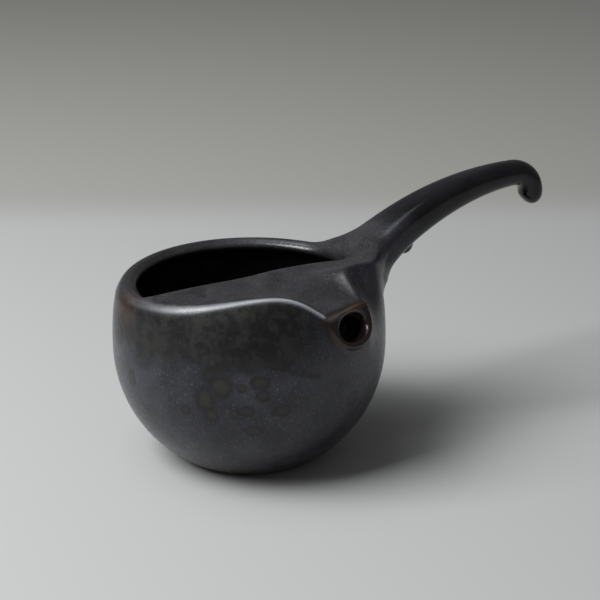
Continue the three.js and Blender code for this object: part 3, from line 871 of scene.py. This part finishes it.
def clay_finish_group():
    inputs = [("Vector", "NodeSocketVector"), ("Colour", "NodeSocketColor"), ("Gloss", "NodeSocketFloat"),
              ("Cloud", "NodeSocketFloat"), ("Speckle", "NodeSocketFloat")]
    outputs = [("Colour", "NodeSocketColor"), ("Gloss", "NodeSocketFloat")]
    tree, given, out = node_group("clay_finish", inputs, outputs)
    place = given["Vector"]
    parts = tree.nodes.new("ShaderNodeSeparateXYZ")
    tree.links.new(place, parts.inputs[0])
    level = maths(tree, "ADD", parts.outputs["Z"], wander(tree, place, *LEVEL_WANDER))
    wall, band = wall_finish(tree, place, level, given)
    leftward = remap(tree, parts.outputs["X"], *PATCH_SIDE)
    patches = times(tree, remap(tree, noise(tree, place, *PATCH_NOISE), *PATCH_NOISE_RANGE), leftward)
    top = tinted(tree, given["Colour"], patches, *PATCH_TINT)
    on_wall, on_rim = marked(tree, "wall"), marked(tree, "rim")
    colour = blend(tree, on_wall, top, wall)
    rust = remap(tree, away_from(tree, place, RUST_PLACE), *RUST_RANGE)
    colour = tinted(tree, colour, rust, *RUST_TINT)
    colour = tinted(tree, colour, marked(tree, "right_ridge"), *RIGHT_RIDGE_TINT)
    # Painted highlight: a pale line along the ridge on the left.
    colour = blend(tree, marked(tree, "ridge_highlight"), colour, RIDGE_HIGHLIGHT_COLOUR)
    colour = tinted(tree, colour, on_rim, *RIM_TINT)
    pool = remap(tree, away_from(tree, place, POOL_PLACE, POOL_STRETCH), *POOL_RANGE)
    colour = tinted(tree, colour, pool, *POOL_TINT)
    # Painted shade: the inside of the pot darkened near-black.
    colour = tinted(tree, colour, marked(tree, "inside"), *INSIDE_SHADE)
    reach = maths(tree, "ADD", marked(tree, "along_handle"), wander(tree, place, *HANDLE_WANDER))
    outer = remap(tree, reach, *HANDLE_RANGE)
    colour = blend(tree, outer, colour, blend(tree, given["Cloud"], *HANDLE_SHADES))
    dull = times(tree, times(tree, band, on_wall), BAND_ROUGHER)
    gloss = maths(tree, "ADD", given["Gloss"], dull)
    gloss = maths(tree, "SUBTRACT", gloss, times(tree, outer, HANDLE_GLOSSIER))
    gloss = maths(tree, "SUBTRACT", gloss, times(tree, on_rim, RIM_GLOSSIER))
    tree.links.new(colour, out["Colour"])
    tree.links.new(gloss, out["Gloss"])
    return tree


clay_finish = clay_finish_group()


def clay_glaze(name):
    return glaze(name, *TOP_SHADES, roughness=0.31, metallic=0.3, speckle=0.2, coat=0.12,
                 finish=clay_finish)


def record_piece(piece, material, slot_name, *nodes):
    """Gives a piece its one material, hangs it on the root body, and hides the solids that it stands for."""
    piece.data.materials.clear()
    piece.data.materials.append(material)
    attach(piece, "root")
    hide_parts(*nodes)


# Bowl. The thrown ball below the fold, with the band and the crystals in its glaze.
bowl = new_object("bowl_clay", bowl_mesh)
record_piece(bowl, clay_glaze("bowl_glaze"), "bowl_glaze", "bowl")

# Shoulder. The folded rim, the crests and the shelf. On the real pot it is one clay with the bowl.
shoulder = new_object("shoulder_clay", shoulder_mesh)
record_piece(shoulder, clay_glaze("shoulder_glaze"), "shoulder_glaze", "shoulder")

# Spout. The tip with its bore, luted into the front of the fold, with a brown rim and an amber pool.
spout = new_object("spout_clay", spout_mesh)
record_piece(spout, clay_glaze("spout_glaze"), "spout_glaze", "spout")

# Handle. The bow and its hook, with the finger rest that is pressed on under it. They are one mesh
# because the joint between them is smoothed over.
handle = new_object("handle_clay", handle_mesh)
record_piece(handle, clay_glaze("handle_glaze"), "handle_glaze", "handle", "finger_rest")

# Strainer. A thin clay dome luted on inside the wall, behind the bore, and pierced with rings of
# round holes. It is inferred, because the photo doesn't show it. Lengths in the tree are in metres.
DOME_SET_BACK = 7.5
DOME_RADIUS = 8.8
DOME_HALF_THICKNESS = 1.2
DOME_IN_WALL = 0.5
DOME_FILLET = 0.4
DOME_BOX = 12
DOME_VOXEL = 0.5
DOME_SHADES = (0.008, 0.008, 0.009), (0.02, 0.02, 0.022)
HOLE_RADIUS = 0.001
HOLE_PITCH = 0.0037
HOLE_RINGS = 2
HOLE_SIDES = 20
DRILL_LENGTH = 0.03
DRILL_BACK = 15.0
DOME = TIP - UP * BORE_DROP - FACING * DOME_SET_BACK


def dome_distance(x, y, z):
    apart = np.sqrt((x - DOME[0]) ** 2 + (y - DOME[1]) ** 2 + (z - DOME[2]) ** 2)
    shell = np.abs(apart - DOME_RADIUS) - DOME_HALF_THICKNESS
    return smooth_max(shell, body_inside(x, y, z) - DOME_IN_WALL, DOME_FILLET)


def pierced_tree():
    """Takes rings of round holes out of the dome, along the spout's axis."""
    tree = bpy.data.node_groups.new("pierced_dome", "GeometryNodeTree")
    face = tree.interface
    face.new_socket("Geometry", in_out="INPUT", socket_type="NodeSocketGeometry")
    for name, value in (("Hole Radius", HOLE_RADIUS), ("Pitch", HOLE_PITCH), ("Reach", DRILL_LENGTH)):
        face.new_socket(name, in_out="INPUT", socket_type="NodeSocketFloat").default_value = value
    face.new_socket("Material", in_out="INPUT", socket_type="NodeSocketMaterial")
    face.new_socket("Geometry", in_out="OUTPUT", socket_type="NodeSocketGeometry")
    add, wire = tree.nodes.new, tree.links.new
    given, out = add("NodeGroupInput"), add("NodeGroupOutput")
    joined = add("GeometryNodeJoinGeometry")
    middle = add("GeometryNodeMeshLine")
    middle.inputs["Count"].default_value = 1
    wire(middle.outputs["Mesh"], joined.inputs["Geometry"])
    for ring in range(1, HOLE_RINGS + 1):
        circle = add("GeometryNodeMeshCircle")
        circle.inputs["Vertices"].default_value = 6 * ring
        reach = add("ShaderNodeMath")
        reach.operation = "MULTIPLY"
        reach.inputs[1].default_value = ring
        wire(given.outputs["Pitch"], reach.inputs[0])
        wire(reach.outputs[0], circle.inputs["Radius"])
        wire(circle.outputs["Mesh"], joined.inputs["Geometry"])
    drill = add("GeometryNodeMeshCylinder")
    drill.inputs["Vertices"].default_value = HOLE_SIDES
    wire(given.outputs["Hole Radius"], drill.inputs["Radius"])
    wire(given.outputs["Reach"], drill.inputs["Depth"])
    placed = add("GeometryNodeInstanceOnPoints")
    wire(joined.outputs["Geometry"], placed.inputs["Points"])
    wire(drill.outputs["Mesh"], placed.inputs["Instance"])
    real = add("GeometryNodeRealizeInstances")
    wire(placed.outputs["Instances"], real.inputs["Geometry"])
    turn = add("GeometryNodeTransform")
    basis = Matrix([[SIDE[i], UP[i], FACING[i]] for i in range(3)])
    turn.inputs["Rotation"].default_value = basis.to_euler()
    turn.inputs["Translation"].default_value = tuple((DOME - FACING * DRILL_BACK) / 1000)
    wire(real.outputs["Geometry"], turn.inputs["Geometry"])
    cut = add("GeometryNodeMeshBoolean")
    cut.operation = "DIFFERENCE"
    cut.solver = "MANIFOLD"
    wire(given.outputs["Geometry"], cut.inputs["Mesh 1"])
    wire(turn.outputs["Geometry"], cut.inputs["Mesh 2"])
    painted = add("GeometryNodeSetMaterial")
    wire(cut.outputs["Mesh"], painted.inputs["Geometry"])
    wire(given.outputs["Material"], painted.inputs["Material"])
    wire(painted.outputs["Geometry"], out.inputs["Geometry"])
    return tree


strainer_glaze = glaze("strainer_glaze", *DOME_SHADES, roughness=0.4, metallic=0.1, speckle=0.1, coat=0.0)
strainer_mesh = field_mesh("strainer_clay", dome_distance, DOME - DOME_BOX, DOME + DOME_BOX, DOME_VOXEL)
strainer = new_object("strainer_clay", strainer_mesh)
piercing = strainer.modifiers.new("pierced", "NODES")
piercing.node_group = pierced_tree()
for item in piercing.node_group.interface.items_tree:
    if item.name == "Material" and item.in_out == "INPUT":
        piercing[item.identifier] = strainer_glaze
bpy.context.view_layer.update()
strainer_seen = strainer.evaluated_get(bpy.context.evaluated_depsgraph_get())
pierced = bpy.data.meshes.new_from_object(strainer_seen)
strainer.modifiers.clear()
strainer.data = pierced
smooth_by_field(pierced, dome_distance)
record_piece(strainer, strainer_glaze, "strainer_glaze", "strainer")

# Table. One pale surface under the pot, which isn't part of it, that turns to a darker grey some
# way behind the pot as the photo's side sees it.
TABLE_REACH = 8
TABLE_NEAR, TABLE_FAR = (0.445, 0.445, 0.44), (0.37, 0.365, 0.34)
TABLE_RANGE = (0.245, 0.315)
TABLE_ROUGHNESS, TABLE_SPECULAR = 0.75, 0.2
VIEW_AZIMUTH = math.radians(46)
corners = [(x * TABLE_REACH, y * TABLE_REACH, 0) for x, y in BOX_CORNERS]
table_mesh = bpy.data.meshes.new("table")
table_mesh.from_pydata(corners, [], [(0, 1, 2, 3)])
table = new_object("table", table_mesh)
table_paint = bpy.data.materials.new("table_paint")
table_paint.use_nodes = True
paint = table_paint.node_tree
behind = paint.nodes.new("ShaderNodeVectorMath")
behind.operation = "DOT_PRODUCT"
behind.inputs[1].default_value = (math.sin(VIEW_AZIMUTH), math.cos(VIEW_AZIMUTH), 0)
paint.links.new(paint.nodes.new("ShaderNodeTexCoord").outputs["Object"], behind.inputs[0])
far_share = remap(paint, behind.outputs["Value"], *TABLE_RANGE)
surface = paint.nodes["Principled BSDF"]
paint.links.new(blend(paint, far_share, TABLE_NEAR, TABLE_FAR), surface.inputs["Base Color"])
surface.inputs["Roughness"].default_value = TABLE_ROUGHNESS
surface.inputs["Specular IOR Level"].default_value = TABLE_SPECULAR
table_mesh.materials.append(table_paint)

# Camera. From the left of the spout and a little above, with a long lens, turned off the middle.
LENS, SENSOR_WIDTH = 101.88, 36
CAMERA_PLACE = (-0.400176, -0.386446, 0.265764)
CAMERA_AIM = (0.015870, -0.009685, 0.053733)
camera_data = bpy.data.cameras.new("camera")
camera_data.lens = LENS
camera_data.sensor_width = SENSOR_WIDTH
camera = bpy.data.objects.new("camera", camera_data)
collection.objects.link(camera)
camera.location = CAMERA_PLACE
aim = Vector(CAMERA_AIM) - camera.location
camera.rotation_euler = aim.to_track_quat("-Z", "Y").to_euler()
scene.camera = camera

# Light. A large soft window from the upper left, a weaker one overhead, and a dim room.
LIT_POINT = Vector((0, 0, 0.04))
ROOM_COLOUR = (0.84, 0.85, 0.86, 1)
ROOM_STRENGTH = 0.15


def softbox(name, place, size, power, colour):
    lamp = bpy.data.lights.new(name, "AREA")
    lamp.shape = "RECTANGLE"
    lamp.size = size
    lamp.size_y = size
    lamp.energy = power
    lamp.color = colour
    made = bpy.data.objects.new(name, lamp)
    collection.objects.link(made)
    made.location = place
    made.rotation_euler = (LIT_POINT - Vector(place)).to_track_quat("-Z", "Y").to_euler()


softbox("window", place=(-0.58, 0.26, 0.80), size=0.62, power=13.5, colour=(0.97, 0.985, 1.0))
softbox("ceiling", place=(-0.25, 0.25, 1.0), size=0.7, power=2.5, colour=(0.95, 0.98, 1.0))
world = bpy.data.worlds.new("room")
scene.world = world
world.use_nodes = True
world.node_tree.nodes["Background"].inputs["Color"].default_value = ROOM_COLOUR
world.node_tree.nodes["Background"].inputs["Strength"].default_value = ROOM_STRENGTH
scene.view_settings.view_transform = "Standard"
